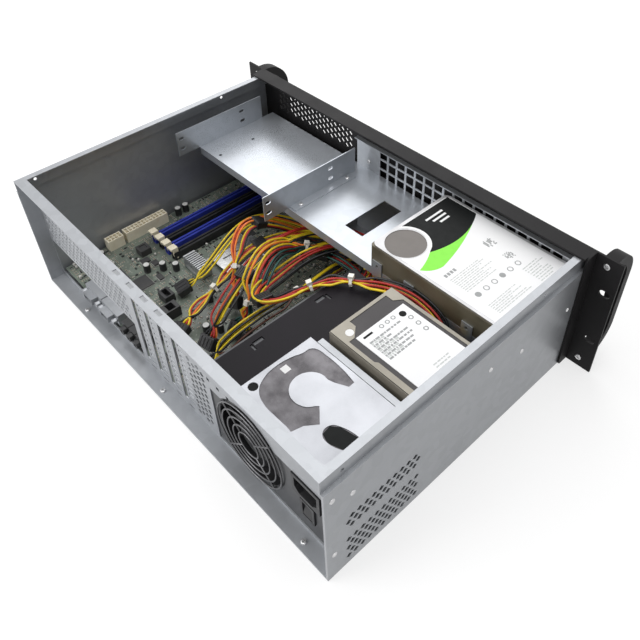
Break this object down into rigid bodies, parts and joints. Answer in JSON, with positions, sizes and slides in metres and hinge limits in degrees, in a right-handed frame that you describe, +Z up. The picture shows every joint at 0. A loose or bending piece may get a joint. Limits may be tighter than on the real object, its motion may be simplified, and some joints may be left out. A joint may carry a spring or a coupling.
{
  "type": "rackmount server case with its contents",
  "caption": "Short 3U rackmount server case, open at the top, with handles, vents, drive trays, drives, power supply, board and cable looms in place",
  "frame": {"origin": "on the underside, at the middle of the width, in the plane of the front ears' rear faces, which is the plane a rack's rails bear on", "axes": "+Z up out of the open top, +Y from the front panel to the rear panel, +X towards the end of the case that holds the motherboard"},
  "size_m": [0.4826, 0.338, 0.132],
  "materials": {
    "black_plastic": "matt",
    "cast_alloy": "fine satin cast and machined",
    "galvanised_steel": "satin galvanised sheet",
    "white_plastic": "matt white nylon",
    "bright_steel": "zinc plated",
    "pale_frame": "satin beige grey",
    "dark_metal": "satin charcoal",
    "label": "printed label",
    "cream_plastic": "matt cream nylon",
    "blue_plastic": "matt blue nylon",
    "black_paint": "satin black powder coat",
    "drive_side": "dull olive grey conversion coat",
    "cable": "coloured wire bundle",
    "board": "green lacquered board",
    "supply_grey": "satin grey"
  },
  "bodies": {
    "case": {"audio_jacks": "black_plastic", "bare_drive_base": "cast_alloy", "bare_drive_cover": "cast_alloy", "bay_divider": "galvanised_steel", "board_headers": "black_plastic", "cable_plugs": "black_plastic", "cable_ties": "white_plastic", "capacitors": "black_plastic", "case_rivets": "bright_steel", "case_screws": "bright_steel", "chassis_body": "galvanised_steel", "chips": "black_plastic", "chipset_heatsink": "cast_alloy", "cpu_socket_frame": "bright_steel", "d_sub_ports": "bright_steel", "dark_drive_base": "pale_frame", "dark_drive_cover": "dark_metal", "dark_drive_label": "label", "dimm_socket_1": "blue_plastic", "dimm_socket_2": "black_plastic", "dimm_socket_3": "blue_plastic", "dimm_socket_4": "black_plastic", "drive_tray": "galvanised_steel", "front_grille_plate": "galvanised_steel", "front_panel": "black_paint", "handle_left": "black_paint", "handle_right": "black_paint", "hard_drive_base": "drive_side", "hard_drive_cover": "cast_alloy", "hard_drive_label": "label", "loom_board": "cable", "loom_drives": "cable", "loom_fan": "cable", "loom_main": "cable", "loom_side": "cable", "loom_spare": "cable", "loom_tall": "cable", "motherboard": "board", "power_sockets": "cream_plastic", "psu_base": "supply_grey", "psu_cover": "supply_grey", "psu_fan_frame": "black_plastic", "psu_fan_guard": "supply_grey", "psu_gland": "black_plastic", "psu_inlet": "black_plastic", "psu_switch_frame": "black_plastic", "rear_panel": "galvanised_steel", "slot_cover_1": "galvanised_steel", "slot_cover_2": "galvanised_steel", "slot_cover_3": "galvanised_steel", "slot_cover_4": "galvanised_steel", "small_drive_angle": "galvanised_steel", "small_drive_bracket": "black_paint", "standoffs": "bright_steel"},
    "supply_fan": {"psu_fan_rotor": "black_plastic"},
    "power_rocker": {"psu_switch_rocker": "black_plastic"},
    "memory_latch_1": {"dimm_latch_1": "cream_plastic"},
    "memory_latch_2": {"dimm_latch_2": "cream_plastic"},
    "memory_latch_3": {"dimm_latch_3": "cream_plastic"},
    "memory_latch_4": {"dimm_latch_4": "cream_plastic"}
  },
  "joints": [
    {"name": "supply_fan_spin", "type": "hinge", "parent": "case", "child": "supply_fan", "pos_m": [-0.112, 0.283, 0.0443], "axis": [0, 1, 0], "continuous": true},
    {"name": "power_rocker_tilt", "type": "hinge", "parent": "case", "child": "power_rocker", "pos_m": [-0.179, 0.281, 0.033], "axis": [-1, 0, 0], "range_deg": [0, 16]},
    {"name": "memory_latch_1_swing", "type": "hinge", "parent": "case", "child": "memory_latch_1", "pos_m": [0.18, 0.1885, 0.0121], "axis": [-1, 0, 0], "range_deg": [0, 32]},
    {"name": "memory_latch_2_swing", "type": "hinge", "parent": "case", "child": "memory_latch_2", "pos_m": [0.1675, 0.1885, 0.0121], "axis": [-1, 0, 0], "range_deg": [0, 32]},
    {"name": "memory_latch_3_swing", "type": "hinge", "parent": "case", "child": "memory_latch_3", "pos_m": [0.155, 0.1885, 0.0121], "axis": [-1, 0, 0], "range_deg": [0, 32]},
    {"name": "memory_latch_4_swing", "type": "hinge", "parent": "case", "child": "memory_latch_4", "pos_m": [0.1425, 0.1885, 0.0121], "axis": [-1, 0, 0], "range_deg": [0, 32]}
  ]
}
